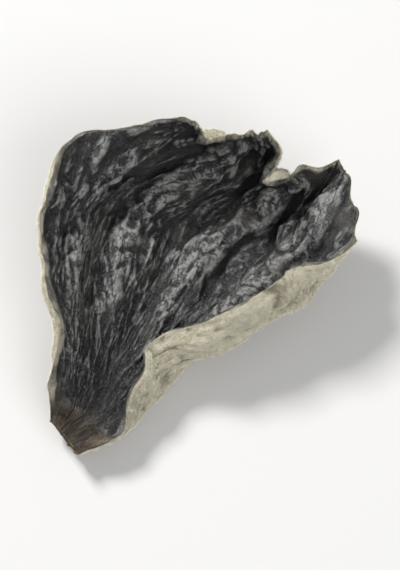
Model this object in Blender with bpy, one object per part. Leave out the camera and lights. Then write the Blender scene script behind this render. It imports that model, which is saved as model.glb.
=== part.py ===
"""A dried wood ear, one crumpled fruit body that lies on its pale velvety back with its dark face up.

The ear is one sheet of flesh that grew from a short stub at its side. The sheet is a fan round the stub. As it
dried it folded into radial pleats, its far margin curled up and its sides rolled in over the face, the right one
furthest.

Metres, +Z up. +Y runs from the stub to the far margin, and +X is to the right of someone who looks along +Y at
the dark face. The origin is on the surface that the ear rests on, under the middle of its box.
"""

import math

import bmesh
import bpy
import numpy as np
from mathutils import Euler, Vector, noise

MM = 0.001
DEG = math.pi / 180

# The flat sheet, before it folds: a fan between u = -1, its left side, and u = 1, its right side. r is the
# distance from the point where those sides would meet, reach is how far past the stub, in sheet lengths, and s is
# the share of the way from the stub to the margin.
STUB_RADIUS = 4.6 * MM  # r at the start of the sheet
SHEET_LENGTH = 35.0 * MM  # from there to the far margin, about the middle
FAN = 100 * DEG
SIDE_SHORTER = 0.29  # these shape the margin, in sheet lengths
CORNER_SHORTER = 0.15
RIGHT_LONGER = 0.06
LOBE = 0.05
UNEVEN = 0.06
NICK = 0.035

# Its thickness.
THICKNESS = 0.95 * MM
EDGE_THICKNESS = 0.5 * MM
EDGE_TAPER = 2.2 * MM  # how far in from the margin the sheet thins
STUB_THICKER = 1.1  # how much thicker it is where it leaves the stub
STUB_SPREAD = 0.07  # the share of the way to the margin over which that fades

# The stub that the ear grew from, cut off flat.
STUB_LENGTH = 2.8 * MM
STUB_WIDTH = 3.8 * MM
STUB_THICKNESS = 2.5 * MM
STUB_SIDE = 0.03  # keeps the two ends of the cut from coming to a point

# How it folded.
CUP = 68 * DEG  # slope of the sides of the cup, without the pleats
PLEATS = 4.4  # waves across the fan
PLEAT_PHASE = 0.6
PLEAT_SLOPE = 80 * DEG
PLEAT_SHARP = 1.4  # more makes their crests and valleys sharper
PLEAT_WANDER = 1.1  # how far a pleat strays, in radians of its wave
PLEAT_SHAKE = 0.35
PLEAT_UNEVEN = 0.30
ROLLS = {1: (6.2 * MM, 2.1 * MM), -1: (2.8 * MM, 2.0 * MM)}  # right and left: the width rolled in and the radius
ROLL_UNEVEN = 0.25
ROLL_WAVE = 9 * MM
ROLL_START = 3 * MM  # along the side, from where the sides would meet
ROLL_FULL = 12 * MM
CURL_FAR = 112 * DEG  # how far the far margin turns up
CURL_UNEVEN = 0.6
CURL_SIDES = 0.45  # how much less it turns at the sides
TONGUE_CURL = 78 * DEG  # how much further it turns at one lobe, which hangs in over the face
TONGUE_AT = 0.20
TONGUE_WIDTH = 0.15

# How it crumpled.
WARP = 2.4 * MM
WARP_SIZE = 15 * MM
CREASE = 0.65 * MM
CREASE_SIZE = 6.5 * MM
CREASE_SHARP = 2.4
WRINKLE = 0.6 * MM
WRINKLES = 9.0  # along the pleats, in half the fan
FRILL = 0.7 * MM
FRILL_SIZE = 4.6 * MM
FRILL_WIDTH = 4 * MM

# How it lies: on its back, which dried a little flat.
REST_TURN = Euler((-11.0 * DEG, 9.9 * DEG, 17.6 * DEG))
PRESSED = 1.2 * MM  # the height that was pressed flat
PRESSED_SOFT = 0.35 * MM

# Its two skins.
FACE_COLOUR = (0.035, 0.034, 0.036)
FACE_ROUGHNESS = 0.45
BACK_COLOUR = (0.40, 0.37, 0.27)
BACK_ROUGHNESS = 0.9

# Steps of the fine grid that the sheet is folded on, and of the mesh: across the fan, along the sheet and along
# the stub.
FOLD_ACROSS = 240
FOLD_ALONG = 160
FOLD_REACH = 1.25  # how far the fine grid goes, in sheet lengths
ACROSS = 60
ALONG = 34
STUB_ROWS = 5
NORMAL_BLUR = 3  # keeps the two skins apart in the tightest folds


def smooth_step(x, start, end):
    t = np.clip((x - start) / (end - start), 0, 1)
    return t * t * (3 - 2 * t)


def noise_at(x, y, seed):
    """Smooth noise from -1 to 1 at each point of arrays of one shape. Each seed gives a field of its own."""
    x, y, z = np.broadcast_arrays(x, y, seed)
    values = [noise.noise(Vector(p)) for p in zip(x.ravel(), y.ravel(), z.ravel())]
    return np.array(values).reshape(x.shape)


def running_sum(values, step, axis, start):
    """The integral of values along an axis, by the trapezium rule, measured from the index start."""
    values = np.moveaxis(values, axis, 0)
    middle = (values[1:] + values[:-1]) / 2 * step
    total = np.concatenate([np.zeros_like(values[:1]), np.cumsum(middle, axis=0)])
    return np.moveaxis(total - total[start], 0, axis)


def unit(vectors):
    return vectors / np.linalg.norm(vectors, axis=-1, keepdims=True)


def normals(points):
    """Unit normals of a grid of points, on the side of the dark face."""
    return unit(np.cross(np.gradient(points, axis=1), np.gradient(points, axis=0)))


def blurred(grid, passes):
    """A grid with each value averaged with its neighbours, in both directions."""
    for _ in range(passes):
        for axis in (0, 1):
            grid = np.moveaxis(grid, axis, 0)
            padded = np.concatenate([grid[:1], grid, grid[-1:]])
            grid = np.moveaxis((padded[:-2] + 2 * padded[1:-1] + padded[2:]) / 4, 0, axis)
    return grid


def sheet_length(u):
    """How far the sheet reaches past the stub: a lobed and nicked margin, longer on the right."""
    outline = 1 - SIDE_SHORTER * u**2 - CORNER_SHORTER * u**8 + RIGHT_LONGER * smooth_step(u, 0.3, 0.8)
    lobes = LOBE * np.cos(2 * math.pi * (u * 2.1 + 0.12)) + UNEVEN * noise_at(u * 4.6, 3.7, 0.0)
    return SHEET_LENGTH * (outline + lobes + NICK * noise_at(u * 13, 8.1, 0.0))


def from_edge(u, s):
    """The flat sheet's distance in from its margin."""
    r = STUB_RADIUS + s * sheet_length(u)
    return np.min([(1 + u) * FAN / 2 * r, (1 - u) * FAN / 2 * r, (1 - s) * sheet_length(u)], axis=0)


def cup_slope(u):
    return CUP * (0.75 * u + 0.25 * u**3)


def pleated_slope(u, reach):
    """The slope of the sheet across the fan: the cup, and the pleats that deepen away from the stub."""
    wander = PLEAT_WANDER * noise_at(u * 1.6 + 4.1, reach * 1.5, 0.0)
    shake = PLEAT_SHAKE * noise_at(u * 4 + 1.7, reach * 3.3, 0.0)
    wave = np.sin(math.pi * PLEATS * u + PLEAT_PHASE + wander + shake)
    depth = PLEAT_SLOPE * (1 + PLEAT_UNEVEN * noise_at(u * 2.3 + 9.4, reach * 1.2 + 2.0, 0.0))
    depth = depth * smooth_step(reach, -0.1, 0.5)
    depth = depth * (1 - 0.8 * smooth_step(u, 0.55, 0.85)) * (1 - 0.5 * smooth_step(-u, 0.7, 0.95))
    return cup_slope(u) + depth * np.tanh(PLEAT_SHARP * wave) / math.tanh(PLEAT_SHARP)


def directions(slope):
    """The way the sheet runs from the stub, as unit vectors, for slopes given across the fan."""
    step = FAN / (slope.shape[1] - 1)
    middle = slope.shape[1] // 2
    lift = running_sum(np.sin(slope), step, 1, middle)
    swing = running_sum(np.cos(slope) / np.cos(lift), step, 1, middle)
    return np.stack([np.sin(swing) * np.cos(lift), np.cos(swing) * np.cos(lift), np.sin(lift)], axis=-1)


def curl(u, reach):
    """How far the sheet has curled up over its face."""
    uneven = 1 + CURL_UNEVEN * noise_at(u * 2.1 + 7.7, reach * 0.6, 0.0)
    far = CURL_FAR * uneven * smooth_step(reach, 0.5, 1.1)
    tongue = TONGUE_CURL * np.exp(-(((u - TONGUE_AT) / TONGUE_WIDTH) ** 2)) * smooth_step(reach, 0.66, 1.0)
    return (far + tongue) * (1 - CURL_SIDES * smooth_step(np.abs(u), 0.75, 1.0))


def warped(points):
    """Space itself bent a little, so that no fold is regular."""
    x, y, z = (points / WARP_SIZE).transpose(2, 0, 1)
    shift = [noise_at(x + 11.3, y, z), noise_at(x, y + 27.1, z), noise_at(x, y, z + 5.9)]
    return points + WARP * np.stack(shift, axis=-1)


def folded_sheet():
    """The cupped and pleated sheet on the fine grid: its points, and its unit vectors along u and along r."""
    u = np.linspace(-1, 1, FOLD_ACROSS + 1)[None, :]
    reach = np.linspace(0, FOLD_REACH, FOLD_ALONG + 1)[:, None]
    folded = directions(pleated_slope(u, reach))
    smooth = directions(cup_slope(u) + 0 * reach)
    upward = unit(np.cross(np.gradient(smooth, axis=1), smooth))
    turn = curl(u, reach)[..., None]
    runs = folded * np.cos(turn) + upward * np.sin(turn)
    points = running_sum(runs, FOLD_REACH * SHEET_LENGTH / FOLD_ALONG, 0, 0) + folded[:1] * STUB_RADIUS
    points = warped(points)
    return points, unit(np.gradient(points, axis=1)), unit(np.gradient(points, axis=0))


def grid_value(grid, u, r):
    """The value of a fine grid at u and r, between its nearest four points."""
    column = np.clip((u + 1) / 2 * FOLD_ACROSS, 0, FOLD_ACROSS - 1e-6)
    row = np.clip((r - STUB_RADIUS) / (FOLD_REACH * SHEET_LENGTH) * FOLD_ALONG, 0, FOLD_ALONG - 1e-6)
    i, j = row.astype(int), column.astype(int)
    a, b = (row - i)[..., None], (column - j)[..., None]
    near = grid[i, j] * (1 - b) + grid[i, j + 1] * b
    far = grid[i + 1, j] * (1 - b) + grid[i + 1, j + 1] * b
    return near * (1 - a) + far * a


def rolled(u, r):
    """The points of the folded sheet at u and r, with both sides rolled in over the face.

    Past a fold line that follows the side, the sheet leaves the cup and goes round an arc.
    """
    points, along_u, along_r = folded_sheet()
    arcs = np.zeros((*u.shape, 3))
    for side, (width, radius) in ROLLS.items():
        angle = (1 - side * u) * FAN / 2
        along, inward = r * np.cos(angle), r * np.sin(angle)
        uneven = 1 + ROLL_UNEVEN * noise_at(along / ROLL_WAVE, side * 3.3, 0.0)
        fold = width * smooth_step(along, ROLL_START, ROLL_FULL) * uneven
        over = np.clip(fold - inward, 0, None)
        u = np.where(over > 0, side * (1 - 2 * np.arctan2(fold, along) / FAN), u)
        r = np.where(over > 0, np.hypot(along, fold), r)
        angle = ((1 - side * u) * FAN / 2)[..., None]
        tangent_u, tangent_r = grid_value(along_u, u, r), grid_value(along_r, u, r)
        outward = unit(side * np.cos(angle) * tangent_u - np.sin(angle) * tangent_r)
        upward = unit(np.cross(tangent_u, tangent_r))
        turn = (over / radius)[..., None]
        arcs += radius * (np.sin(turn) * outward + (1 - np.cos(turn)) * upward)
    return grid_value(points, u, r) + arcs


def crumpled(points, u, s):
    """The sheet pushed in and out along its normals: creased, wrinkled along its pleats, frilled at its edge."""
    r = STUB_RADIUS + s * sheet_length(u)
    x, y = r * np.sin(u * FAN / 2), r * np.cos(u * FAN / 2)
    a, b = x / CREASE_SIZE, y / CREASE_SIZE
    ridge = np.sqrt(noise_at(a, b * 0.6, 4.4) ** 2 + 0.01)
    creases = CREASE * (1 - CREASE_SHARP * ridge + 0.8 * noise_at(a * 2.1, b * 1.3, 8.8))
    wrinkles = WRINKLE * noise_at(u * WRINKLES, s * 2.2, 9.2)
    frill = FRILL * noise_at(x / FRILL_SIZE, y / FRILL_SIZE, 2.9)
    edge = from_edge(u, s)
    inner = creases * smooth_step(edge, 0, 5 * MM) + wrinkles * smooth_step(edge, 0, 2 * MM)
    outer = frill * smooth_step(-edge, -FRILL_WIDTH, 0)
    push = inner * smooth_step(s, 0.1, 0.5) + outer * smooth_step(s, 0, 0.3)
    return points + normals(points) * push[..., None]


def at_rest(points):
    """The sheet turned as it lies, with its lowest parts pressed flat."""
    points = points @ np.array(REST_TURN.to_matrix()).T
    height = points[..., 2] - points[..., 2].min()
    points[..., 2] = PRESSED_SOFT * np.log1p(np.exp((height - PRESSED) / PRESSED_SOFT))
    return points


def two_skins(across, along):
    """The dark face and the pale back, as two grids of points."""
    u, s = np.meshgrid(np.linspace(-1, 1, across + 1), np.linspace(0, 1, along + 1))
    points = at_rest(crumpled(rolled(u, STUB_RADIUS + s * sheet_length(u)), u, s))
    thick = EDGE_THICKNESS + (THICKNESS - EDGE_THICKNESS) * smooth_step(from_edge(u, s), 0, EDGE_TAPER)
    thick = thick * (1 + STUB_THICKER * (1 - 0.8 * u**2) * np.exp(-s / STUB_SPREAD))
    half = unit(blurred(normals(points), NORMAL_BLUR)) * thick[..., None] / 2
    return points + half, points - half


def with_stub(face, back):
    """Both grids, with rows ahead of them that thicken into the stub and end in its flat cut."""
    middle = (face[0] + back[0]) / 2
    u = np.linspace(-1, 1, len(middle))[:, None]
    width = STUB_WIDTH / 2 * np.sin(u * math.pi / 2)
    cut = np.hstack([width, 0 * u + middle[:, 1].max() - STUB_LENGTH, 0 * u + middle[:, 2].mean()])
    bulge = STUB_THICKNESS / 2 * np.sqrt(1 + STUB_SIDE - u**2) * np.array([0, 0, 1])
    ease = smooth_step(np.linspace(0, 1, STUB_ROWS + 1)[:-1], 0, 1.15)[:, None, None]
    centre = cut + (middle - cut) * ease
    half = bulge + ((face[0] - back[0]) / 2 - bulge) * ease
    return np.concatenate([centre + half, face]), np.concatenate([centre - half, back])


def closed_body(face, back):
    """Points and quads of the closed body between the two skins. The quads of the dark face come first."""
    rows, columns = face.shape[:2]
    at = np.arange(rows * columns).reshape(rows, columns)
    under = at + rows * columns
    face_quads = np.stack([at[:-1, :-1], at[:-1, 1:], at[1:, 1:], at[1:, :-1]], axis=-1).reshape(-1, 4)
    back_quads = face_quads[:, ::-1] + rows * columns
    rim = np.concatenate([at[0, :], at[1:, -1], at[-1, -2::-1], at[-2:0:-1, 0]])
    rim_under = rim + rows * columns
    rim_quads = np.stack([rim, rim_under, np.roll(rim_under, -1), np.roll(rim, -1)], axis=1)
    points = np.concatenate([face.reshape(-1, 3), back.reshape(-1, 3)])
    return points, np.concatenate([face_quads, back_quads, rim_quads])


def material(name, colour, roughness):
    made = bpy.data.materials.new(name)
    made.use_nodes = True
    shader = made.node_tree.nodes["Principled BSDF"]
    shader.inputs["Base Color"].default_value = (*colour, 1)
    shader.inputs["Roughness"].default_value = roughness
    shader.inputs["Metallic"].default_value = 0
    return made


def ear():
    """The whole ear as one closed body, with its origin under the middle of its box."""
    points, quads = closed_body(*with_stub(*two_skins(ACROSS, ALONG)))
    low, high = points.min(axis=0), points.max(axis=0)
    points -= [(low[0] + high[0]) / 2, (low[1] + high[1]) / 2, low[2]]
    mesh = bpy.data.meshes.new("ear")
    mesh.from_pydata(points.tolist(), [], quads.tolist())
    mesh.materials.append(material("dark_face", FACE_COLOUR, FACE_ROUGHNESS))
    mesh.materials.append(material("pale_back", BACK_COLOUR, BACK_ROUGHNESS))
    on_back = np.arange(len(quads)) >= ACROSS * (ALONG + STUB_ROWS)
    mesh.polygons.foreach_set("material_index", on_back.astype(np.int32))
    triangles = bmesh.new()
    triangles.from_mesh(mesh)
    bmesh.ops.triangulate(triangles, faces=triangles.faces, quad_method="SHORT_EDGE")
    triangles.to_mesh(mesh)
    triangles.free()
    mesh.shade_smooth()
    bpy.context.scene.collection.objects.link(bpy.data.objects.new("ear", mesh))


for item in list(bpy.data.objects):
    bpy.data.objects.remove(item, do_unlink=True)
ear()
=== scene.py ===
"""The looks of a dried wood ear: two skins with their furrows, worn crests and down, lying on a pale floor.

The ear is one sheet of flesh. Its folds are worked out here by the same steps as the CAD solid's, so that
the two agree, and are then drawn on a finer grid that also carries the furrows, veins and crisped margin.
Lengths are in metres. The materials read their place on the flat sheet, before it folded, in millimetres.
"""

import math

import bpy
import numpy as np
from mathutils import Euler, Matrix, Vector, noise


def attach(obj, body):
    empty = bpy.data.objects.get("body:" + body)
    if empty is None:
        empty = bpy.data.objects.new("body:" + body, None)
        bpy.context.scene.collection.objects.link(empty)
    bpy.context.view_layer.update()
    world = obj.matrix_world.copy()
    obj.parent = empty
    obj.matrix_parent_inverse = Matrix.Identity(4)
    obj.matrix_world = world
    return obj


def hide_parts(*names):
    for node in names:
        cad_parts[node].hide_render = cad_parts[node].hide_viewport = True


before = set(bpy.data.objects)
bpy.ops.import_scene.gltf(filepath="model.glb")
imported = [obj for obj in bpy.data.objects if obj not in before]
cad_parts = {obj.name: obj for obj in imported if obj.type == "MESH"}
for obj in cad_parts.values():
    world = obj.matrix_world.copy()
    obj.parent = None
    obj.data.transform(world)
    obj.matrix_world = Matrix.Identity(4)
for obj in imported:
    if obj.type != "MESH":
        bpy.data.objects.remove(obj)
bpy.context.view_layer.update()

MM = 0.001
DEG = math.pi / 180

# The camera looks down on the ear as it lay in the photograph, with the stub at the lower left.
FRAME_WIDTH = 400
FRAME_HEIGHT = 570
CAMERA_AZIMUTH = 52 * DEG
CAMERA_ELEVATION = 70 * DEG
CAMERA_LENS = 120  # mm, as is the sensor along the picture's long side
CAMERA_SENSOR = 36
CAMERA_NEAREST = 0.01  # closer things than this aren't shown
SHOWN_ACROSS = 36 * MM  # how much of the floor the picture shows from side to side

# The flat sheet, before it folds: a fan between u = -1, its left side, and u = 1, its right side. r is the
# distance from the point where those sides would meet, reach is how far past the stub, in sheet lengths, and
# s is the share of the way from the stub to the margin. All values down to NORMAL_BLUR are the CAD solid's.
STUB_RADIUS = 4.6 * MM  # r at the start of the sheet
SHEET_LENGTH = 35.0 * MM  # from there to the far margin, about the middle
FAN = 100 * DEG
SIDE_SHORTER = 0.29  # these shape the margin, in sheet lengths
CORNER_SHORTER = 0.15
RIGHT_LONGER = 0.06
LOBE = 0.05
UNEVEN = 0.06
NICK = 0.035

# Its thickness.
THICKNESS = 0.95 * MM
EDGE_THICKNESS = 0.5 * MM
EDGE_TAPER = 2.2 * MM  # how far in from the margin the sheet thins
STUB_THICKER = 1.1  # how much thicker it is where it leaves the stub
STUB_SPREAD = 0.07  # the share of the way to the margin over which that fades

# The stub that the ear grew from, cut off flat.
STUB_LENGTH = 2.8 * MM
STUB_WIDTH = 3.8 * MM
STUB_THICKNESS = 2.5 * MM
STUB_SIDE = 0.03  # keeps the two ends of the cut from coming to a point

# How it folded.
CUP = 68 * DEG  # slope of the sides of the cup, without the pleats
PLEATS = 4.4  # waves across the fan
PLEAT_PHASE = 0.6
PLEAT_SLOPE = 80 * DEG
PLEAT_SHARP = 1.4  # more makes their crests and valleys sharper
PLEAT_WANDER = 1.1  # how far a pleat strays, in radians of its wave
PLEAT_SHAKE = 0.35
PLEAT_UNEVEN = 0.30
ROLLS = {1: (6.2 * MM, 2.1 * MM), -1: (2.8 * MM, 2.0 * MM)}  # right and left: width rolled in, and radius
ROLL_UNEVEN = 0.25
ROLL_WAVE = 9 * MM
ROLL_START = 3 * MM  # along the side, from where the sides would meet
ROLL_FULL = 12 * MM
CURL_FAR = 112 * DEG  # how far the far margin turns up
CURL_UNEVEN = 0.6
CURL_SIDES = 0.45  # how much less it turns at the sides
TONGUE_CURL = 78 * DEG  # how much further it turns at one lobe, which hangs in over the face
TONGUE_AT = 0.20
TONGUE_WIDTH = 0.15

# How it crumpled.
WARP = 2.4 * MM
WARP_SIZE = 15 * MM
CREASE = 0.65 * MM
CREASE_SIZE = 6.5 * MM
CREASE_SHARP = 2.4
WRINKLE = 0.6 * MM
WRINKLES = 9.0  # along the pleats, in half the fan
FRILL = 0.7 * MM
FRILL_SIZE = 4.6 * MM
FRILL_WIDTH = 4 * MM

# How it lies: on its back, which dried a little flat.
REST_TURN = Euler((-11.0 * DEG, 9.9 * DEG, 17.6 * DEG))
PRESSED = 1.2 * MM  # the height that was pressed flat
PRESSED_SOFT = 0.35 * MM

# Steps of the fine grid that the sheet is folded on, and of the solid's grid: across the fan, along the sheet
# and along the stub.
FOLD_ACROSS = 240
FOLD_ALONG = 160
FOLD_REACH = 1.25  # how far the fine grid goes, in sheet lengths
ACROSS = 60
ALONG = 34
STUB_ROWS = 5
NORMAL_BLUR = 3  # keeps the two skins apart in the tightest folds

# The finer grid, in steps between two points of the CAD solid's grid, and the steps round the margin.
FINER_ACROSS = 5
FINER_ALONG = 4
RIM_STEPS = 5
RIM_SWELL = 0.7  # how far the margin is rounded, as a share of half its thickness
RIM_ROUND = 1.1  # mm, the way round the margin from the face to the back, as the materials read it
STUB_LOOK = (2.6, 7.0)  # mm, where the stub's brown starts to fade and has gone
NORMAL_SMOOTH = 12  # passes of blur for the way that the relief is pushed
OUTWARD_BLUR = 2  # the same for the way that crests and hairs stand out

# The relief of the skins. Heights are for a noise that reaches about half of them. A gap or width lies across
# the furrows and a length along them.
PLEAT_SCALE = 20 * MM  # turns an angle across the fan into a distance
STRAY = 1.6 * MM  # how far furrows and ridges stray sideways
STRAY_WIDTH = 7 * MM
STRAY_LENGTH = 8 * MM
FURROW = 0.42 * MM
FURROW_GAP = 2.3 * MM
FURROW_LENGTH = 10 * MM
RIDGE = 0.34 * MM
RIDGE_GAP = 1.7 * MM
RIDGE_LENGTH = 5 * MM
FINE_RIDGE = 0.26 * MM
FINE_RIDGE_GAP = 0.9 * MM
FINE_RIDGE_LENGTH = 2.2 * MM
RIDGE_NARROW = 1.6
RIDGE_SHARP = 3
RIDGE_SHARED = 0.45  # the share of a narrow ridge's height that the back has as a groove
SKIN_FOLD = 0.17 * MM  # how deep the dark skin's own folds are
SKIN_FOLD_GAP = 1.5 * MM
SKIN_FOLD_LENGTH = 4.0 * MM
SKIN_FOLD_WIDTH = 0.16  # the value of their noise, where it leaves zero, at which their slope ends
SKIN_FOLD_TILTS = {22.5: 0.25, 23.7: -0.3}  # two nets that cross: each one's seed and slant
SKIN_FOLD_EDGE = 1.5 * MM  # how far in from the margin they reach their full depth
SKIN_STRAY = 1.2 * MM
SKIN_STRAY_SIZE = 4 * MM
PUCKER = 0.40 * MM
PUCKER_SIZE = 2.1 * MM
VEIN = 0.22 * MM
VEIN_SIZE = 1.3 * MM
VEIN_FACE = 0.25  # the share of a vein's height that the face has as a groove
CRISP = 0.30 * MM
CRISP_SIZE = 1.5 * MM
CRISP_WIDTH = 2.2 * MM
RAGGED = 0.40 * MM
RAGGED_SIZE = 1.1 * MM
RAGGED_WIDTH = 1.2 * MM
EDGE_UNEVEN = 0.65  # how much the margin's thickness varies
EDGE_UNEVEN_SIZE = 1.9 * MM
EDGE_FINER = 2.7  # how much smaller its finer unevenness is
EDGE_FINER_SHARE = 0.6
CUT_ROUGH = 0.35 * MM
CUT_ROUGH_WIDTH = 0.5 * MM
CUT_ROUGH_HEIGHT = 0.8 * MM

# Where that relief is less. A pair says where it starts to grow and where it is full.
RELIEF_EDGE = 2.5 * MM  # in from the margin
OUTER = (9 * MM, 20 * MM)  # from the stub, for puckers, the dark skin's folds and the crisped margin
RAGGED_FROM = (12 * MM, 20 * MM)
NEAR_STUB = 0.3  # the share of furrows and veins at the stub
NEAR_STUB_TO = (3 * MM, 11 * MM)
LOW = 0.4  # the share on the flats that the ear rests on
LOW_TO = (0.5 * MM, 2.2 * MM)
CALM = 0.9  # how much less there is in tight folds
CALM_FROM = (0.3, 0.8)  # how far a fold stands out, as crests gives it
CALM_CREST = 0.5  # the share of it on a crest, for the relief that both skins have
SKIN_PRESSED_SOFT = 0.06 * MM  # as PRESSED_SOFT, for the finer skins

# Crests: the passes of blur that they are measured against, the height that counts in full, and its share.
CREST_FINE = 5
CREST_FINE_HEIGHT = 0.035 * MM
CREST_FINE_SHARE = 0.5
CREST_BROAD = 60
CREST_BROAD_HEIGHT = 0.32 * MM
CREST_BROAD_SHARE = 0.6

# The down on the back: short hairs, joined into a few meshes.
DOWN_PIECES = 3
DOWN_HAIRS = 48000  # in each mesh
HAIR_LENGTH = 0.21 * MM
HAIR_SHORTEST = 0.45  # a share of that length, and the longest is 1 more
HAIR_WIDTH = 0.034 * MM
HAIR_TUFTS = 0.9 * MM  # the size of a tuft
TUFT_SEEDS = (12.1, 13.7, 15.3)
TUFT_LONGER = 0.8  # how much longer hairs are in some tufts
LEAN_OUT = 0.7  # these weigh the ways that a hair leans
LEAN_ALONG = 0.7
LEAN_TUFT = 1.1
LEAN_RANDOM = 0.5
LEAN_LEAST_OUT = 0.35  # so that no hair leans into the skin

# The ear's texture map, from 0 to 1 each way.
MAP_NAME = "OFBake"
MAP_EDGE = 0.02  # kept free round each skin
MAP_RIM = 0.016  # the width of the margin's strip round the face
MAP_HAIR = 0.0016  # half the width of a hair's foot

# Colours, as shares of red, green and blue. Low and high are painted shade in the folds and a painted
# highlight on their crests.
# The face's painted shade in its folds and painted highlight on its crests.
FACE_FOLD_SHADE = (0.018, 0.018, 0.020)
FACE_CREST_HIGHLIGHT = (0.102, 0.103, 0.104)
FACE_GRIT = (0.024, 0.024, 0.026)
# Painted shade in the face's thin creases.
FACE_CREASE_SHADE = (0.012, 0.012, 0.013)
FACE_BLOOM = (0.345, 0.343, 0.325)
FACE_CLOUD = (0.125, 0.116, 0.098)
FACE_SPECK = (0.30, 0.29, 0.265)
MARGIN_BROWN = (0.145, 0.127, 0.094)
MARGIN_PALE = (0.36, 0.33, 0.255)
STUB_DARK = (0.022, 0.016, 0.012)
STUB_BROWN = (0.185, 0.135, 0.085)
# The back's tone along its streaks, with painted shade in its folds and a painted highlight on its crests.
BACK_LOW_TONE_AND_SHADE = (0.27, 0.235, 0.165)
BACK_HIGH_TONE_AND_HIGHLIGHT = (0.66, 0.62, 0.48)
# Painted shade in the back's furrows.
BACK_FURROW_SHADE = (0.11, 0.09, 0.06)
BACK_DARK_CLOUD = (0.265, 0.225, 0.155)
BACK_PALE_CLOUD = (0.56, 0.535, 0.45)
BACK_FELT = (0.66, 0.62, 0.51)
BACK_STUB = (0.17, 0.12, 0.075)
DOWN_DARK = (0.56, 0.525, 0.38)
DOWN_PALE = (0.91, 0.87, 0.71)
DOWN_CLOUD = (0.46, 0.40, 0.29)
# Painted shade on the hairs in furrows.
DOWN_FURROW_SHADE = (0.24, 0.20, 0.135)
CUT_DARK = (0.085, 0.062, 0.040)
CUT_PALE = (0.235, 0.180, 0.118)
CUT_PORE = (0.045, 0.032, 0.021)
BACK_SHIFT = 50  # gives the back and its down the same clouds, which aren't the face's

# The stage. A light's values are its azimuth and elevation in degrees, its size in metres and its watts.
FLOOR_HALF = 3.0
FLOOR_DROP = 0.02 * MM  # so that the ear's flats don't lie in it
FLOOR_COLOUR = (0.555, 0.548, 0.536)
FLOOR_ROUGHNESS = 0.9
SURROUND_COLOUR = (0.95, 0.97, 1.0)
SURROUND_STRENGTH = 0.38
LIGHT_DISTANCE = 0.5
LIGHTS = {"key": (-91, 44, 0.12, 3.4), "fill": (92, 40, 0.40, 1.95)}


def camera():
    """The camera, with the middle of what it sees of the ear in the middle of its picture."""
    data = bpy.data.cameras.new("camera")
    data.lens = CAMERA_LENS
    data.sensor_width = CAMERA_SENSOR
    data.clip_start = CAMERA_NEAREST
    flat, up = math.cos(CAMERA_ELEVATION), math.sin(CAMERA_ELEVATION)
    back = Vector((math.sin(CAMERA_AZIMUTH) * flat, -math.cos(CAMERA_AZIMUTH) * flat, up))
    turn = back.to_track_quat("Z", "Y")
    seen = np.array([turn.inverted() @ vertex.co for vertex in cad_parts["ear"].data.vertices])
    middle = turn @ Vector((seen.min(axis=0) + seen.max(axis=0)) / 2)
    distance = SHOWN_ACROSS * FRAME_HEIGHT / FRAME_WIDTH * CAMERA_LENS / CAMERA_SENSOR
    made = bpy.data.objects.new("camera", data)
    made.location = middle + back * distance
    made.rotation_euler = turn.to_euler()
    bpy.context.scene.collection.objects.link(made)
    bpy.context.scene.camera = made


# The folded sheet, by the same steps as the CAD solid.


def smooth_step(x, start, end):
    t = np.clip((x - start) / (end - start), 0, 1)
    return t * t * (3 - 2 * t)


def noise_at(x, y, seed):
    """Smooth noise from -1 to 1 at each point of arrays of one shape. Each seed gives a field of its own."""
    x, y, z = np.broadcast_arrays(x, y, seed)
    values = [noise.noise(Vector(p)) for p in zip(x.ravel(), y.ravel(), z.ravel())]
    return np.array(values).reshape(x.shape)


def running_sum(values, step, axis, start):
    """The integral of values along an axis, by the trapezium rule, measured from the index start."""
    values = np.moveaxis(values, axis, 0)
    middle = (values[1:] + values[:-1]) / 2 * step
    total = np.concatenate([np.zeros_like(values[:1]), np.cumsum(middle, axis=0)])
    return np.moveaxis(total - total[start], 0, axis)


def unit(vectors):
    return vectors / np.linalg.norm(vectors, axis=-1, keepdims=True)


def normals(points):
    """Unit normals of a grid of points, on the side of the dark face."""
    return unit(np.cross(np.gradient(points, axis=1), np.gradient(points, axis=0)))


def blurred(grid, passes):
    """A grid with each value averaged with its neighbours, in both directions."""
    for _ in range(passes):
        for axis in (0, 1):
            grid = np.moveaxis(grid, axis, 0)
            padded = np.concatenate([grid[:1], grid, grid[-1:]])
            grid = np.moveaxis((padded[:-2] + 2 * padded[1:-1] + padded[2:]) / 4, 0, axis)
    return grid


def sheet_length(u):
    """How far the sheet reaches past the stub: a lobed and nicked margin, longer on the right."""
    outline = 1 - SIDE_SHORTER * u**2 - CORNER_SHORTER * u**8 + RIGHT_LONGER * smooth_step(u, 0.3, 0.8)
    lobes = LOBE * np.cos(2 * math.pi * (u * 2.1 + 0.12)) + UNEVEN * noise_at(u * 4.6, 3.7, 0.0)
    return SHEET_LENGTH * (outline + lobes + NICK * noise_at(u * 13, 8.1, 0.0))


def from_edge(u, s):
    """The flat sheet's distance in from its margin."""
    r = STUB_RADIUS + s * sheet_length(u)
    return np.min([(1 + u) * FAN / 2 * r, (1 - u) * FAN / 2 * r, (1 - s) * sheet_length(u)], axis=0)


def cup_slope(u):
    return CUP * (0.75 * u + 0.25 * u**3)


def pleated_slope(u, reach):
    """The slope of the sheet across the fan: the cup, and the pleats that deepen away from the stub."""
    wander = PLEAT_WANDER * noise_at(u * 1.6 + 4.1, reach * 1.5, 0.0)
    shake = PLEAT_SHAKE * noise_at(u * 4 + 1.7, reach * 3.3, 0.0)
    wave = np.sin(math.pi * PLEATS * u + PLEAT_PHASE + wander + shake)
    depth = PLEAT_SLOPE * (1 + PLEAT_UNEVEN * noise_at(u * 2.3 + 9.4, reach * 1.2 + 2.0, 0.0))
    depth = depth * smooth_step(reach, -0.1, 0.5)
    depth = depth * (1 - 0.8 * smooth_step(u, 0.55, 0.85)) * (1 - 0.5 * smooth_step(-u, 0.7, 0.95))
    return cup_slope(u) + depth * np.tanh(PLEAT_SHARP * wave) / math.tanh(PLEAT_SHARP)


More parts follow.
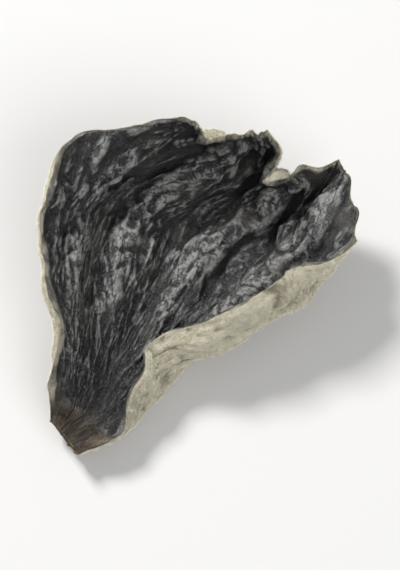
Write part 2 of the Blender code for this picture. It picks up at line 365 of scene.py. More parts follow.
def directions(slope):
    """The way the sheet runs from the stub, as unit vectors, for slopes given across the fan."""
    step = FAN / (slope.shape[1] - 1)
    middle = slope.shape[1] // 2
    lift = running_sum(np.sin(slope), step, 1, middle)
    swing = running_sum(np.cos(slope) / np.cos(lift), step, 1, middle)
    return np.stack([np.sin(swing) * np.cos(lift), np.cos(swing) * np.cos(lift), np.sin(lift)], axis=-1)


def curl(u, reach):
    """How far the sheet has curled up over its face."""
    uneven = 1 + CURL_UNEVEN * noise_at(u * 2.1 + 7.7, reach * 0.6, 0.0)
    far = CURL_FAR * uneven * smooth_step(reach, 0.5, 1.1)
    tongue = TONGUE_CURL * np.exp(-(((u - TONGUE_AT) / TONGUE_WIDTH) ** 2)) * smooth_step(reach, 0.66, 1.0)
    return (far + tongue) * (1 - CURL_SIDES * smooth_step(np.abs(u), 0.75, 1.0))


def warped(points):
    """Space itself bent a little, so that no fold is regular."""
    x, y, z = (points / WARP_SIZE).transpose(2, 0, 1)
    shift = [noise_at(x + 11.3, y, z), noise_at(x, y + 27.1, z), noise_at(x, y, z + 5.9)]
    return points + WARP * np.stack(shift, axis=-1)


def folded_sheet():
    """The cupped and pleated sheet on a fine grid: its points, and its unit vectors along u and along r."""
    u = np.linspace(-1, 1, FOLD_ACROSS + 1)[None, :]
    reach = np.linspace(0, FOLD_REACH, FOLD_ALONG + 1)[:, None]
    folded = directions(pleated_slope(u, reach))
    smooth = directions(cup_slope(u) + 0 * reach)
    upward = unit(np.cross(np.gradient(smooth, axis=1), smooth))
    turn = curl(u, reach)[..., None]
    runs = folded * np.cos(turn) + upward * np.sin(turn)
    points = running_sum(runs, FOLD_REACH * SHEET_LENGTH / FOLD_ALONG, 0, 0) + folded[:1] * STUB_RADIUS
    points = warped(points)
    return points, unit(np.gradient(points, axis=1)), unit(np.gradient(points, axis=0))


def between_points(grid, i, j, a, b):
    """The values of a grid at the shares a and b of the way from the point i, j to the next ones."""
    near = grid[i, j] * (1 - b) + grid[i, j + 1] * b
    far = grid[i + 1, j] * (1 - b) + grid[i + 1, j + 1] * b
    return near * (1 - a) + far * a


def grid_value(grid, u, r):
    """The value of that grid at u and r, between its nearest four points."""
    column = np.clip((u + 1) / 2 * FOLD_ACROSS, 0, FOLD_ACROSS - 1e-6)
    row = np.clip((r - STUB_RADIUS) / (FOLD_REACH * SHEET_LENGTH) * FOLD_ALONG, 0, FOLD_ALONG - 1e-6)
    i, j = row.astype(int), column.astype(int)
    return between_points(grid, i, j, (row - i)[..., None], (column - j)[..., None])


def rolled(u, r):
    """The points of the folded sheet at u and r, with both sides rolled in over the face.

    Past a fold line that follows the side, the sheet leaves the cup and goes round an arc.
    """
    points, along_u, along_r = folded_sheet()
    arcs = np.zeros((*u.shape, 3))
    for side, (width, radius) in ROLLS.items():
        angle = (1 - side * u) * FAN / 2
        along, inward = r * np.cos(angle), r * np.sin(angle)
        uneven = 1 + ROLL_UNEVEN * noise_at(along / ROLL_WAVE, side * 3.3, 0.0)
        fold = width * smooth_step(along, ROLL_START, ROLL_FULL) * uneven
        over = np.clip(fold - inward, 0, None)
        u = np.where(over > 0, side * (1 - 2 * np.arctan2(fold, along) / FAN), u)
        r = np.where(over > 0, np.hypot(along, fold), r)
        angle = ((1 - side * u) * FAN / 2)[..., None]
        tangent_u, tangent_r = grid_value(along_u, u, r), grid_value(along_r, u, r)
        outward = unit(side * np.cos(angle) * tangent_u - np.sin(angle) * tangent_r)
        upward = unit(np.cross(tangent_u, tangent_r))
        turn = (over / radius)[..., None]
        arcs += radius * (np.sin(turn) * outward + (1 - np.cos(turn)) * upward)
    return grid_value(points, u, r) + arcs


def crumpled(points, u, s):
    """The sheet pushed along its normals: creased, wrinkled along its pleats, and frilled at its edge."""
    r = STUB_RADIUS + s * sheet_length(u)
    x, y = r * np.sin(u * FAN / 2), r * np.cos(u * FAN / 2)
    a, b = x / CREASE_SIZE, y / CREASE_SIZE
    ridge = np.sqrt(noise_at(a, b * 0.6, 4.4) ** 2 + 0.01)
    creases = CREASE * (1 - CREASE_SHARP * ridge + 0.8 * noise_at(a * 2.1, b * 1.3, 8.8))
    wrinkles = WRINKLE * noise_at(u * WRINKLES, s * 2.2, 9.2)
    frill = FRILL * noise_at(x / FRILL_SIZE, y / FRILL_SIZE, 2.9)
    edge = from_edge(u, s)
    inner = creases * smooth_step(edge, 0, 5 * MM) + wrinkles * smooth_step(edge, 0, 2 * MM)
    outer = frill * smooth_step(-edge, -FRILL_WIDTH, 0)
    push = inner * smooth_step(s, 0.1, 0.5) + outer * smooth_step(s, 0, 0.3)
    return points + normals(points) * push[..., None]


def at_rest(points):
    """The sheet turned as it lies, with its lowest parts pressed flat."""
    points = points @ np.array(REST_TURN.to_matrix()).T
    height = points[..., 2] - points[..., 2].min()
    points[..., 2] = PRESSED_SOFT * np.log1p(np.exp((height - PRESSED) / PRESSED_SOFT))
    return points


def stub_rows(cut, edge):
    """Rows of values that lead from those at the stub's cut to those where the sheet starts."""
    ease = smooth_step(np.linspace(0, 1, STUB_ROWS + 1)[:-1], 0, 1.15)[:, None, None]
    return cut + (edge - cut) * ease


def coarse_ear():
    """The CAD solid's two skins as grids, stub rows first, and each point's place on the flat sheet.

    The skins come as their middle and half their thickness, a vector towards the dark face.
    """
    u, s = np.meshgrid(np.linspace(-1, 1, ACROSS + 1), np.linspace(0, 1, ALONG + 1))
    middle = at_rest(crumpled(rolled(u, STUB_RADIUS + s * sheet_length(u)), u, s))
    thick = EDGE_THICKNESS + (THICKNESS - EDGE_THICKNESS) * smooth_step(from_edge(u, s), 0, EDGE_TAPER)
    thick = thick * (1 + STUB_THICKER * (1 - 0.8 * u**2) * np.exp(-s / STUB_SPREAD))
    half = unit(blurred(normals(middle), NORMAL_BLUR)) * thick[..., None] / 2
    r = STUB_RADIUS + s * sheet_length(u)
    flat = np.stack([r * np.sin(u * FAN / 2), r * np.cos(u * FAN / 2), from_edge(u, s)], axis=-1)

    side = u[0][:, None]
    width = STUB_WIDTH / 2 * np.sin(side * math.pi / 2)
    start = middle[0]
    cut = np.hstack([width, 0 * side + start[:, 1].max() - STUB_LENGTH, 0 * side + start[:, 2].mean()])
    bulge = STUB_THICKNESS / 2 * np.sqrt(1 + STUB_SIDE - side**2) * np.array([0, 0, 1])
    flat_cut = np.hstack([width, 0 * side + STUB_RADIUS - STUB_LENGTH, STUB_WIDTH / 2 * (1 - np.abs(side))])
    middle = np.concatenate([stub_rows(cut, middle[0]), middle])
    half = np.concatenate([stub_rows(bulge, half[0]), half])
    flat = np.concatenate([stub_rows(flat_cut, flat[0]), flat])

    corners = np.concatenate([middle + half, middle - half]).reshape(-1, 3)
    low, high = corners.min(axis=0), corners.max(axis=0)
    middle = middle - [(low[0] + high[0]) / 2, (low[1] + high[1]) / 2, low[2]]
    return middle, half, flat


# The finer grid and its relief.


def spline_weights(count, steps):
    """A matrix that draws a smooth curve through count values, with that many steps between each two."""
    bends = np.eye(count, k=-1) + 4 * np.eye(count) + np.eye(count, k=1)
    differences = 6 * (np.eye(count, k=-1) - 2 * np.eye(count) + np.eye(count, k=1))
    bends[[0, -1]] = np.eye(count)[[0, -1]]
    differences[[0, -1]] = 0
    bend = np.linalg.solve(bends, differences)
    at = np.arange((count - 1) * steps + 1) / steps
    i = np.minimum(at.astype(int), count - 2)
    b = (at - i)[:, None]
    a = 1 - b
    values = np.eye(count)
    return a * values[i] + b * values[i + 1] + (a**3 - a) / 6 * bend[i] + (b**3 - b) / 6 * bend[i + 1]


def finer(grid):
    """The grid with a smooth surface drawn through its points."""
    rows = spline_weights(grid.shape[0], FINER_ALONG)
    columns = spline_weights(grid.shape[1], FINER_ACROSS)
    return np.einsum("ij,jkc,lk->ilc", rows, grid, columns, optimize=True)


def valleys(x, y, seed):
    """Noise folded at zero: rounded swellings with sharp furrows between them, from 0 to about 1."""
    return np.abs(noise_at(x, y, seed))


def ridges(x, y, seed):
    """Narrow crests that wind and fork, 1 along their tops and near 0 between them."""
    return np.clip(1 - RIDGE_NARROW * np.abs(noise_at(x, y, seed)), 0, 1) ** RIDGE_SHARP


def furrows(across, along):
    """Furrows, and the narrow ridges between them, that run out from the stub, stray and fork."""
    stray = STRAY * noise_at(across / STRAY_WIDTH, along / STRAY_LENGTH, 1.1)
    wide = valleys((across + stray) / FURROW_GAP, along / FURROW_LENGTH, 2.2)
    tops = ridges((across + stray) / RIDGE_GAP, along / RIDGE_LENGTH, 3.3)
    fine = ridges((across - stray) / FINE_RIDGE_GAP, along / FINE_RIDGE_LENGTH, 4.4)
    return FURROW * wide, RIDGE * tops + FINE_RIDGE * fine


def skin_folds(across, along):
    """The depth of the dark skin's sharp little folds, which run along the pleats and cross each other."""
    stray = SKIN_STRAY * noise_at(across / SKIN_STRAY_SIZE, along / SKIN_STRAY_SIZE, 21.3)
    depth = np.zeros_like(across)
    for seed, tilt in SKIN_FOLD_TILTS.items():
        line = noise_at((across + stray + tilt * along) / SKIN_FOLD_GAP, along / SKIN_FOLD_LENGTH, seed)
        depth += SKIN_FOLD * np.clip(1 - np.abs(line) / SKIN_FOLD_WIDTH, 0, 1)
    return depth


def relief(flat):
    """How far both skins are pushed towards the dark face, and how far each one swells by itself."""
    x, y, edge = flat.transpose(2, 0, 1)
    across, along = np.arctan2(x, y) * PLEAT_SCALE, np.hypot(x, y)
    inside = smooth_step(edge, 0, RELIEF_EDGE)
    outer = smooth_step(along, *OUTER)
    pucker = PUCKER * valleys(x / PUCKER_SIZE, y / PUCKER_SIZE, 5.5) * outer
    crisp = CRISP * noise_at(x / CRISP_SIZE, y / CRISP_SIZE, 6.6) * (1 - smooth_step(edge, 0, CRISP_WIDTH))
    near_stub = NEAR_STUB + (1 - NEAR_STUB) * smooth_step(along, *NEAR_STUB_TO)
    wide, narrow = furrows(across, along)
    both = (wide + RIDGE_SHARED * narrow) * near_stub + pucker
    both = (both - both.mean()) * inside + crisp * outer
    net = VEIN * valleys(x / VEIN_SIZE, y / VEIN_SIZE, 7.7) * inside * near_stub
    folds = skin_folds(across, along) * smooth_step(edge, 0, SKIN_FOLD_EDGE) * outer
    return both, (1 - RIDGE_SHARED) * narrow * inside * near_stub - VEIN_FACE * net - folds, -net


def ragged(points, flat, free):
    """The margin moved in and out a little along the sheet, so that its outline is uneven."""
    x, y, edge = flat.transpose(2, 0, 1)
    jag = RAGGED * noise_at(x / RAGGED_SIZE, y / RAGGED_SIZE, 8.8)
    jag = jag * (1 - smooth_step(edge, 0, RAGGED_WIDTH))
    along = unit(np.gradient(points, axis=0))
    across = unit(np.gradient(points, axis=1)) * np.sign(x)[..., None]
    far = smooth_step(np.hypot(x, y), *RAGGED_FROM)
    return points + (along + across) * (jag * far * free)[..., None]


def crests(points, outward):
    """How far each point stands out from what is round it, from -1 in furrows to 1 on crests."""
    fine = np.sum((points - blurred(points, CREST_FINE)) * outward, axis=-1) / CREST_FINE_HEIGHT
    broad = np.sum((points - blurred(points, CREST_BROAD)) * outward, axis=-1) / CREST_BROAD_HEIGHT
    return np.clip(CREST_FINE_SHARE * fine + CREST_BROAD_SHARE * broad, -1, 1)


def uneven_margin(flat):
    """How much thicker or thinner the margin is from place to place."""
    x, y, edge = flat.transpose(2, 0, 1)
    broad = noise_at(x / EDGE_UNEVEN_SIZE, y / EDGE_UNEVEN_SIZE, 6.1)
    fine = noise_at(EDGE_FINER * x / EDGE_UNEVEN_SIZE, EDGE_FINER * y / EDGE_UNEVEN_SIZE, 9.7)
    return EDGE_UNEVEN * (broad + EDGE_FINER_SHARE * fine) * (1 - smooth_step(edge, 0, EDGE_TAPER))


def fine_skins():
    """The sheet's middle and its two skins on the finer grid, with their relief, and their flat places."""
    middle, half, flat = (finer(grid) for grid in coarse_ear())
    flat[..., 2] = np.clip(flat[..., 2], 0, None)
    upward = unit(blurred(unit(half), NORMAL_SMOOTH))
    both, swell_face, swell_back = relief(flat)
    bend = crests(middle, upward)
    in_valleys, on_crests = (CALM * smooth_step(side * bend, *CALM_FROM) for side in (-1, 1))
    low = LOW + (1 - LOW) * smooth_step(middle[..., 2], *LOW_TO)
    free = (1 - in_valleys - on_crests * CALM_CREST) * low
    swell_face, swell_back = swell_face * (1 - in_valleys) * low, swell_back * (1 - on_crests) * low
    middle = ragged(middle + upward * (both * free)[..., None], flat, free)
    half = half * (1 + uneven_margin(flat))[..., None]
    face = middle + half + upward * swell_face[..., None]
    back = middle - half - upward * swell_back[..., None]
    for skin in (face, back, middle):
        skin[..., 2] = SKIN_PRESSED_SOFT * np.log1p(np.exp(skin[..., 2] / SKIN_PRESSED_SOFT))
    return middle, face, back, flat


# The meshes.


def rim_loop(grid):
    """A grid's outermost values, once round."""
    return np.concatenate([grid[0, :], grid[1:, -1], grid[-1, -2::-1], grid[-2:0:-1, 0]])


def rim_outward(points):
    """The way out of the sheet at each point round its edge."""
    out = np.zeros_like(points)
    out[0] += unit(points[0] - points[1])
    out[-1] += unit(points[-1] - points[-2])
    out[:, 0] += unit(points[:, 0] - points[:, 1])
    out[:, -1] += unit(points[:, -1] - points[:, -2])
    return rim_loop(out)


def rim_rows(points, face, back):
    """Rows of points that round the edge off, from the face to the back. The stub's cut stays flat."""
    top, bottom = rim_loop(face), rim_loop(back)
    centre, half = (top + bottom) / 2, (top - bottom) / 2
    out = rim_outward(points)
    thick = np.linalg.norm(half, axis=-1, keepdims=True)
    out = unit(out - half * (np.sum(out * half, axis=-1, keepdims=True) / thick**2))
    cut = np.arange(len(top)) < points.shape[1]
    swell = out * thick * np.where(cut, 0, RIM_SWELL)[:, None]
    turns = np.linspace(0, math.pi, RIM_STEPS + 1)[1:-1, None, None]
    rows = centre + half * np.cos(turns) + swell * np.sin(turns)
    rough = noise_at(rows[..., 0] / CUT_ROUGH_WIDTH, rows[..., 2] / CUT_ROUGH_HEIGHT, 9.9)
    rows[..., 1] += CUT_ROUGH * rough * cut
    return rows


def numbered(rows, columns, first=0):
    """A grid's points numbered row by row."""
    return first + np.arange(rows * columns).reshape(rows, columns)


def loop_quads(loops):
    """Quads between each closed loop of point numbers and the next."""
    pairs = zip(loops, loops[1:])
    return np.concatenate([np.stack([a, b, np.roll(b, -1), np.roll(a, -1)], axis=1) for a, b in pairs])


def flat_values(values):
    """An array as foreach_set takes it."""
    return np.ascontiguousarray(values, np.float32).ravel()


def add_attribute(mesh, name, kind, values):
    """Gives each point of a mesh a value that its materials can read."""
    field = "vector" if kind == "FLOAT_VECTOR" else "value"
    mesh.attributes.new(name, kind, "POINT").data.foreach_set(field, flat_values(values))


def map_places(rows, columns, low, high):
    """The places of a grid of points on the texture map, between the heights low and high."""
    x = np.linspace(MAP_EDGE, 1 - MAP_EDGE, columns)
    y = np.linspace(low + MAP_EDGE, high - MAP_EDGE, rows)
    return np.stack(np.meshgrid(x, y), axis=-1)


def ear_places(rows, columns, face_quads):
    """The map places of the corners of the face's quads, then the back's, then those round the margin."""
    face_map, back_map = map_places(rows, columns, 0, 0.5), map_places(rows, columns, 0.5, 1)
    wider = np.linspace(0, MAP_RIM, RIM_STEPS + 1)[:, None, None]
    strip = rim_loop(face_map) + rim_outward(face_map) * wider
    strip_quads = loop_quads(numbered(*strip.shape[:2]))
    maps = ((face_map, face_quads), (back_map, face_quads[:, ::-1]), (strip, strip_quads))
    return np.concatenate([places.reshape(-1, 2)[numbers] for places, numbers in maps])


def add_map(mesh, places):
    """Gives each corner of each face its place on the texture map."""
    mesh.uv_layers.new(name=MAP_NAME).uv.foreach_set("vector", flat_values(places))


def add_mesh(name, points, faces):
    """An object of that name, made of points and of faces that all have as many corners."""
    mesh = bpy.data.meshes.new(name)
    mesh.vertices.add(len(points))
    mesh.vertices.foreach_set("co", flat_values(points))
    mesh.loops.add(faces.size)
    mesh.loops.foreach_set("vertex_index", faces.ravel().astype(np.int32))
    mesh.polygons.add(len(faces))
    mesh.polygons.foreach_set("loop_start", np.arange(0, faces.size, faces.shape[1], dtype=np.int32))
    mesh.update(calc_edges=True)
    mesh.validate()
    mesh.shade_smooth()
    made = bpy.data.objects.new(name, mesh)
    bpy.context.scene.collection.objects.link(made)
    return made


def ear(middle, face, back, flat):
    """The ear's flesh as one closed mesh: its dark face, its pale back and margin, and its stub's cut end."""
    rows, columns = face.shape[:2]
    skin = rows * columns
    at = numbered(rows, columns)
    around = rim_loop(at)
    rim = rim_rows(middle, face, back)
    loops = [around, *numbered(*rim.shape[:2], 2 * skin), around + skin]
    face_quads = np.stack([at[:-1, :-1], at[:-1, 1:], at[1:, 1:], at[1:, :-1]], axis=-1).reshape(-1, 4)
    back_quads = face_quads[:, ::-1] + skin
    rim_quads = loop_quads(loops)
    points = np.concatenate([face.reshape(-1, 3), back.reshape(-1, 3), rim.reshape(-1, 3)])
    quads = np.concatenate([face_quads, back_quads, rim_quads])

    made = add_mesh("ear_flesh", points, quads)
    mesh = made.data
    cut = np.tile(np.arange(len(around)) < columns - 1, RIM_STEPS)
    which = [np.zeros(len(face_quads)), np.ones(len(back_quads)), np.where(cut, 2, 0)]
    for look in (dark_face(), pale_back(), cut_stub()):
        mesh.materials.append(look)
    mesh.polygons.foreach_set("material_index", np.concatenate(which).astype(np.int32))
    add_map(mesh, ear_places(rows, columns, face_quads))

    outward = unit(blurred(normals(middle), OUTWARD_BLUR))
    x, y, edge = flat.transpose(2, 0, 1) / MM
    across, along = np.arctan2(x, y) * PLEAT_SCALE / MM, np.hypot(x, y)
    stub = 1 - smooth_step(along, *STUB_LOOK)
    turned = np.linspace(0, 1, RIM_STEPS + 1)[1:-1, None] + np.zeros(len(around))

    def all_points(face_values, back_values, rim_values=None):
        if rim_values is None:
            rim_values = np.repeat(rim_loop(back_values)[None], RIM_STEPS - 1, axis=0)
        width = back_values.shape[2:]
        return np.concatenate([v.reshape(-1, *width) for v in (face_values, back_values, rim_values)])

    for name, place in (("sheet", (x, y)), ("grain", (across, along))):
        face_place, back_place = (np.stack([*place, depth + 0 * x], axis=-1) for depth in (0, RIM_ROUND))
        rim_place = rim_loop(face_place) + turned[..., None] * [0, 0, RIM_ROUND]
        add_attribute(mesh, name, "FLOAT_VECTOR", all_points(face_place, back_place, rim_place))
    # How far past the margin a point is: below 0 on the face, in millimetres, and above 1 on the back.
    add_attribute(mesh, "margin", "FLOAT", all_points(-edge, 1 + edge, turned))
    add_attribute(mesh, "crest", "FLOAT", all_points(crests(face, outward), crests(back, -outward)))
    add_attribute(mesh, "stub", "FLOAT", all_points(stub, stub))
    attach(made, "root")
    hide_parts("ear")


def down(middle, back, flat, number):
    """A part of the back's down: hairs that lean towards the margin in tufts, each a thin closed spike."""
    random = np.random.default_rng(number)
    outward = -normals(blurred(middle, OUTWARD_BLUR))
    along = unit(np.gradient(back, axis=0))
    crest = crests(back, outward)[..., None]
    size = np.linalg.norm(np.cross(np.gradient(back, axis=1), np.gradient(back, axis=0)), axis=-1)[:-1, :-1]
    i, j = np.unravel_index(random.choice(size.size, DOWN_HAIRS, p=size.ravel() / size.sum()), size.shape)
    a, b = random.random((2, DOWN_HAIRS, 1))
    grids = (back, outward, along, flat, crest)
    root, out, forth, place, crest = (between_points(grid, i, j, a, b) for grid in grids)
    x, y = place[:, 0] / HAIR_TUFTS, place[:, 1] / HAIR_TUFTS
    tuft = np.stack([noise_at(x, y, seed) for seed in TUFT_SEEDS], axis=-1)
    lean = LEAN_OUT * unit(out) + LEAN_ALONG * unit(forth) + LEAN_TUFT * tuft
    lean = lean + LEAN_RANDOM * random.normal(size=(DOWN_HAIRS, 3))
    lean = unit(lean + np.clip(LEAN_LEAST_OUT - np.sum(lean * out, axis=-1, keepdims=True), 0, None) * out)
    length = HAIR_LENGTH * (HAIR_SHORTEST + random.random((DOWN_HAIRS, 1))) * (1 + TUFT_LONGER * tuft[:, :1])
    side = unit(np.cross(lean, random.normal(size=(DOWN_HAIRS, 3))))
    other = np.cross(lean, side)
    turns = [0, 2 * math.pi / 3, 4 * math.pi / 3]
    foot = [root + HAIR_WIDTH / 2 * (math.cos(turn) * side + math.sin(turn) * other) for turn in turns]
    points = np.stack([*foot, root + length * lean], axis=1)
    points[..., 2] = np.maximum(points[..., 2], 0)

    corners = np.array([(0, 1, 3), (1, 2, 3), (2, 0, 3), (0, 2, 1)])
    triangles = (4 * np.arange(DOWN_HAIRS)[:, None, None] + corners).reshape(-1, 3)
    made = add_mesh(f"down_{number}", points.reshape(-1, 3), triangles)
    made.data.materials.append(bpy.data.materials.get("down") or down_look())
    add_attribute(made.data, "sheet", "FLOAT_VECTOR", np.repeat(place / MM, 4, axis=0))
    add_attribute(made.data, "crest", "FLOAT", np.repeat(crest, 4, axis=0))
    centre = between_points(map_places(*back.shape[:2], 0, 1), i, j, a, b)
    around = MAP_HAIR * np.array([(math.cos(turn), math.sin(turn)) for turn in turns] + [(0, 0)])
    add_map(made.data, (centre[:, None] + around).reshape(-1, 2)[triangles])
    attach(made, "root")


# The looks.


class Shading:
    """A material's nodes. Most methods add some and give back an output, to use as the input of others."""

    def __init__(self, name, shift=0.0):
        self.shift = (shift, 0, shift)  # gives each material a noise of its own
        self.material = bpy.data.materials.new(name)
        self.material.use_nodes = True
        self.tree = self.material.node_tree
        self.shader = self.tree.nodes["Principled BSDF"]

    def put(self, socket, value):
        """Links an output to the socket, or sets it to a colour or a value."""
        if isinstance(value, bpy.types.NodeSocket):
            self.tree.links.new(value, socket)
        elif isinstance(value, tuple) and socket.type == "RGBA":
            socket.default_value = (*value, 1)
        else:
            socket.default_value = value

    def node(self, kind, inputs, **settings):
        made = self.tree.nodes.new(kind)
        for name, value in settings.items():
            setattr(made, name, value)
        for name, value in inputs.items():
            self.put(made.inputs[name], value)
        return made

    def attribute(self, name, output):
        return self.node("ShaderNodeAttribute", {}, attribute_name=name).outputs[output]

    def noise(self, place, size, stretch=(1, 1, 1), detail=3.0, roughness=0.55):
        """Noise from about 0.3 to 0.7, in swells of that size in millimetres, longer where stretched."""
        scale = tuple(1 / (size * s) for s in stretch)
        inputs = {"Vector": place, "Scale": scale, "Location": self.shift}
        place = self.node("ShaderNodeMapping", inputs).outputs[0]
        inputs = {"Vector": place, "Scale": 1.0, "Detail": detail, "Roughness": roughness}
        return self.node("ShaderNodeTexNoise", inputs).outputs[0]

    def creases(self, place, size, stretch, width):
        """A net of thin creases: 0 in them and 1 between them."""
        waves = self.math("SUBTRACT", self.noise(place, size, stretch, roughness=0.6), 0.5)
        return self.between(self.math("ABSOLUTE", waves, 0.0), 0.0, width)

    def between(self, value, low, high, to_low=0.0, to_high=1.0):
        """The value eased from to_low, where it is low, to to_high, where it is high."""
        inputs = {"Value": value, "From Min": low, "From Max": high, "To Min": to_low, "To Max": to_high}
        return self.node("ShaderNodeMapRange", inputs, interpolation_type="SMOOTHSTEP").outputs[0]

    def math(self, operation, a, b):
        return self.node("ShaderNodeMath", {0: a, 1: b}, operation=operation).outputs[0]

    def mix(self, share, a, b):
        """The colour a with that share of b."""
        return self.node("ShaderNodeMix", {0: share, 6: a, 7: b}, data_type="RGBA").outputs[2]

    def bump(self, *heights):
        """The normal of the surface raised by each height times its depth."""
        bumped = {}
        for height, depth in heights:
            inputs = {"Height": height, "Distance": depth, "Strength": 1.0, **bumped}
            bumped = {"Normal": self.node("ShaderNodeBump", inputs).outputs[0]}
        return bumped["Normal"]

    def finish(self, **inputs):
        """The material, with the shader's inputs set. An underscore stands for a space in their names."""
        for name, value in inputs.items():
            self.put(self.shader.inputs[name.replace("_", " ")], value)
        return self.material


def dark_face():
    """The spore-bearing face: creased charcoal with a satin gloss, and a grey bloom on its worn crests."""
    look = Shading("dark_face")
    sheet, grain = look.attribute("sheet", "Vector"), look.attribute("grain", "Vector")
    crest, margin, stub = (look.attribute(name, "Fac") for name in ("crest", "margin", "stub"))
    streaks = look.noise(grain, 0.8, (1, 5, 1), detail=5.0, roughness=0.62)
    crepe = look.noise(grain, 0.45, (1, 2.2, 1), detail=6.0, roughness=0.68)
    fibres = look.noise(grain, 1.6, (1, 1.6, 1), detail=5.0, roughness=0.7)
    clouds = look.noise(sheet, 5.0, detail=4.0)
    patches = look.noise(sheet, 1.7, detail=4.0)
    grit = look.noise(sheet, 0.40, detail=4.0, roughness=0.75)
    specks = look.noise(sheet, 0.16, detail=2.0, roughness=0.7)
    folds = look.creases(grain, 1.3, (1, 3.0, 1), 0.035)
    wrinkles = look.creases(grain, 0.6, (1, 1.5, 1), 0.05)

    # The charcoal, with painted shade in its folds and creases and a painted highlight on its crests, and the
    # bloom where it is worn between them.
    bloom = look.math("MULTIPLY", look.math("ADD", streaks, look.math("ADD", crepe, grit)), 1.6)
    bloom = look.math("ADD", bloom, look.math("MULTIPLY", crest, 0.55))
    clear = look.math("MULTIPLY", folds, look.between(wrinkles, 0, 1, 0.35, 1))
    worn = look.math("MULTIPLY", look.between(bloom, 2.28, 3.0), clear)
    # Painted shade in the folds and a painted highlight on the crests, by how far each point stands out.
    colour = look.mix(look.between(crest, -0.7, 0.6), FACE_FOLD_SHADE, FACE_CREST_HIGHLIGHT)
    colour = look.mix(look.between(grit, 0.58, 0.42, 0, 0.6), colour, FACE_GRIT)
    # Painted shade in the thin creases.
    colour = look.mix(look.between(clear, 0, 1, 0.7, 0), colour, FACE_CREASE_SHADE)
    colour = look.mix(worn, colour, FACE_BLOOM)
    colour = look.mix(look.between(clouds, 0.47, 0.70, 0, 0.45), colour, FACE_CLOUD)
    colour = look.mix(look.between(specks, 0.56, 0.66, 0, 0.7), colour, FACE_SPECK)

    # The pale margin, frayed and brown on its inner side, and the brown flesh by the stub.
    frayed = look.math("MULTIPLY", look.math("ADD", crepe, grit), 1.4)
    frayed = look.math("ADD", frayed, look.math("MULTIPLY", patches, 5.5))
    frayed = look.math("ADD", margin, frayed)
    pale = look.between(frayed, 4.50, 5.25)
    colour = look.mix(look.between(frayed, 3.95, 4.75), colour, MARGIN_BROWN)
    colour = look.mix(pale, colour, MARGIN_PALE)
    brown = look.mix(look.between(fibres, 0.38, 0.62), STUB_DARK, STUB_BROWN)
    brown_share = look.math("ADD", stub, look.math("MULTIPLY", look.math("SUBTRACT", fibres, 0.5), 1.5))
    colour = look.mix(look.between(brown_share, 0.15, 1.0, 0, 0.85), colour, brown)

    rough = look.between(look.math("ADD", worn, clouds), 0.3, 1.3, 0.27, 0.60)
    rough = look.math("MAXIMUM", rough, look.math("MULTIPLY", look.math("MAXIMUM", pale, stub), 0.85))
    fibrous = look.math("MULTIPLY", fibres, stub)
    coarse = ((fibrous, 0.5 * MM), (streaks, 0.55 * MM), (folds, 0.09 * MM), (wrinkles, 0.05 * MM))
    normal = look.bump(*coarse, (crepe, 0.7 * MM), (grit, 0.3 * MM), (specks, 0.08 * MM))
    return look.finish(Base_Color=colour, Roughness=rough, Normal=normal, Specular_IOR_Level=0.5)


def back_clouds(look, sheet):
    """Broad darker and paler areas, the same for the back's flesh and its down."""
    return look.noise(sheet, 4.0, detail=5.0, roughness=0.6)


def pale_back():
    """The sterile back: khaki grey on darker flesh, which shows where the down is rubbed, with painted shade
    in its folds and furrows and a painted highlight on its crests.
    """
    look = Shading("pale_back", BACK_SHIFT)
    sheet, grain = look.attribute("sheet", "Vector"), look.attribute("grain", "Vector")
    crest, stub = (look.attribute(name, "Fac") for name in ("crest", "stub"))
    streaks = look.noise(grain, 0.7, (1, 6, 1), detail=5.0, roughness=0.62)
    crepe = look.noise(grain, 0.40, (1, 2.0, 1), detail=5.0, roughness=0.68)
    felt = look.noise(sheet, 0.12, roughness=0.75)
    clouds = back_clouds(look, sheet)

    # Streaks in the back's tone, plus a painted highlight on its crests and painted shade in its folds.
    high = look.math("ADD", look.math("MULTIPLY", crest, 0.45), look.math("ADD", streaks, crepe))
    colour = look.mix(look.between(high, 0.55, 1.25), BACK_LOW_TONE_AND_SHADE, BACK_HIGH_TONE_AND_HIGHLIGHT)
    # Painted shade in the furrows.
    colour = look.mix(look.between(crest, -0.45, -1.0, 0, 0.7), colour, BACK_FURROW_SHADE)
    colour = look.mix(look.between(clouds, 0.50, 0.70, 0, 0.6), colour, BACK_DARK_CLOUD)
    colour = look.mix(look.between(clouds, 0.46, 0.30, 0, 0.5), colour, BACK_PALE_CLOUD)
    colour = look.mix(look.between(felt, 0.52, 0.66, 0, 0.6), colour, BACK_FELT)
    colour = look.mix(look.between(stub, 0.1, 1.0, 0, 0.8), colour, BACK_STUB)
    normal = look.bump((streaks, 0.6 * MM), (crepe, 0.6 * MM), (felt, 0.2 * MM))
    velvet = {"Sheen_Weight": 0.25, "Sheen_Roughness": 0.6, "Specular_IOR_Level": 0.2}
    return look.finish(Base_Color=colour, Roughness=0.92, Normal=normal, **velvet)


def down_look():
    """The hairs of the down: pale khaki, with painted shade where they lie in furrows."""
    look = Shading("down", BACK_SHIFT)
    sheet, crest = look.attribute("sheet", "Vector"), look.attribute("crest", "Fac")
    tufts = look.noise(sheet, 0.5, roughness=0.7)
    colour = look.mix(look.between(tufts, 0.38, 0.62), DOWN_DARK, DOWN_PALE)
    colour = look.mix(look.between(back_clouds(look, sheet), 0.50, 0.70, 0, 0.6), colour, DOWN_CLOUD)
    # Painted shade on hairs in the furrows.
    colour = look.mix(look.between(crest, -0.3, -1.0, 0, 0.6), colour, DOWN_FURROW_SHADE)
    return look.finish(Base_Color=colour, Roughness=0.75, Specular_IOR_Level=0.25)


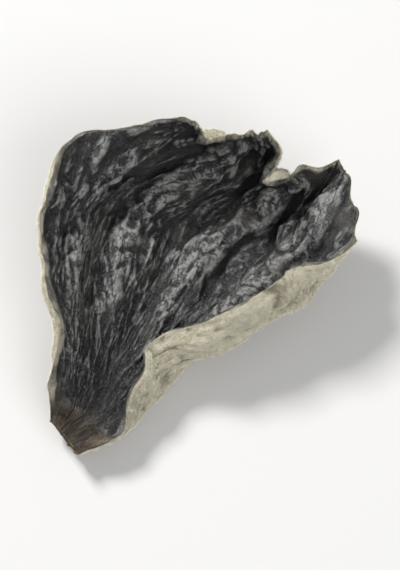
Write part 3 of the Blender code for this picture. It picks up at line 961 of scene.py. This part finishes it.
def cut_stub():
    """The cut end of the stub: brown, fibrous and dry."""
    look = Shading("cut_stub")
    place = look.node("ShaderNodeTexCoord", {}).outputs["Object"]
    place = look.node("ShaderNodeMapping", {"Vector": place, "Scale": (1 / MM, 1 / MM, 1 / MM)}).outputs[0]
    fibres = look.noise(place, 0.22, (1, 1, 2.4), detail=5.0, roughness=0.7)
    pores = look.noise(place, 0.5, detail=4.0, roughness=0.6)
    colour = look.mix(look.between(fibres, 0.36, 0.64), CUT_DARK, CUT_PALE)
    colour = look.mix(look.between(pores, 0.50, 0.66, 0, 0.75), colour, CUT_PORE)
    normal = look.bump((pores, -0.3 * MM), (fibres, 0.3 * MM))
    return look.finish(Base_Color=colour, Roughness=0.9, Normal=normal, Specular_IOR_Level=0.25)


# The stage, and the run.


def stage():
    """The floor, a pale surround, a light at the picture's upper left and a broad, weaker one opposite."""
    mesh = bpy.data.meshes.new("floor")
    corners = [(FLOOR_HALF * x, FLOOR_HALF * y, 0) for x, y in ((-1, -1), (1, -1), (1, 1), (-1, 1))]
    mesh.from_pydata(corners, [], [(0, 1, 2, 3)])
    mesh.materials.append(Shading("floor").finish(Base_Color=FLOOR_COLOUR, Roughness=FLOOR_ROUGHNESS))
    floor = bpy.data.objects.new("floor", mesh)
    floor.location.z = -FLOOR_DROP
    bpy.context.scene.collection.objects.link(floor)

    world = bpy.data.worlds.new("surround")
    world.use_nodes = True
    background = world.node_tree.nodes["Background"]
    background.inputs["Color"].default_value = (*SURROUND_COLOUR, 1)
    background.inputs["Strength"].default_value = SURROUND_STRENGTH
    bpy.context.scene.world = world
    for name, (azimuth, elevation, size, power) in LIGHTS.items():
        light = bpy.data.lights.new(name, "AREA")
        light.size = size
        light.energy = power
        made = bpy.data.objects.new(name, light)
        a, e = azimuth * DEG, elevation * DEG
        away = Vector((math.sin(a) * math.cos(e), math.cos(a) * math.cos(e), math.sin(e)))
        made.location = away * LIGHT_DISTANCE
        made.rotation_euler = away.to_track_quat("Z", "Y").to_euler()
        bpy.context.scene.collection.objects.link(made)
    bpy.context.scene.view_settings.view_transform = "Standard"


camera()
stage()
middle, face, back, flat = fine_skins()
ear(middle, face, back, flat)
for number in range(1, DOWN_PIECES + 1):
    down(middle, back, flat, number)
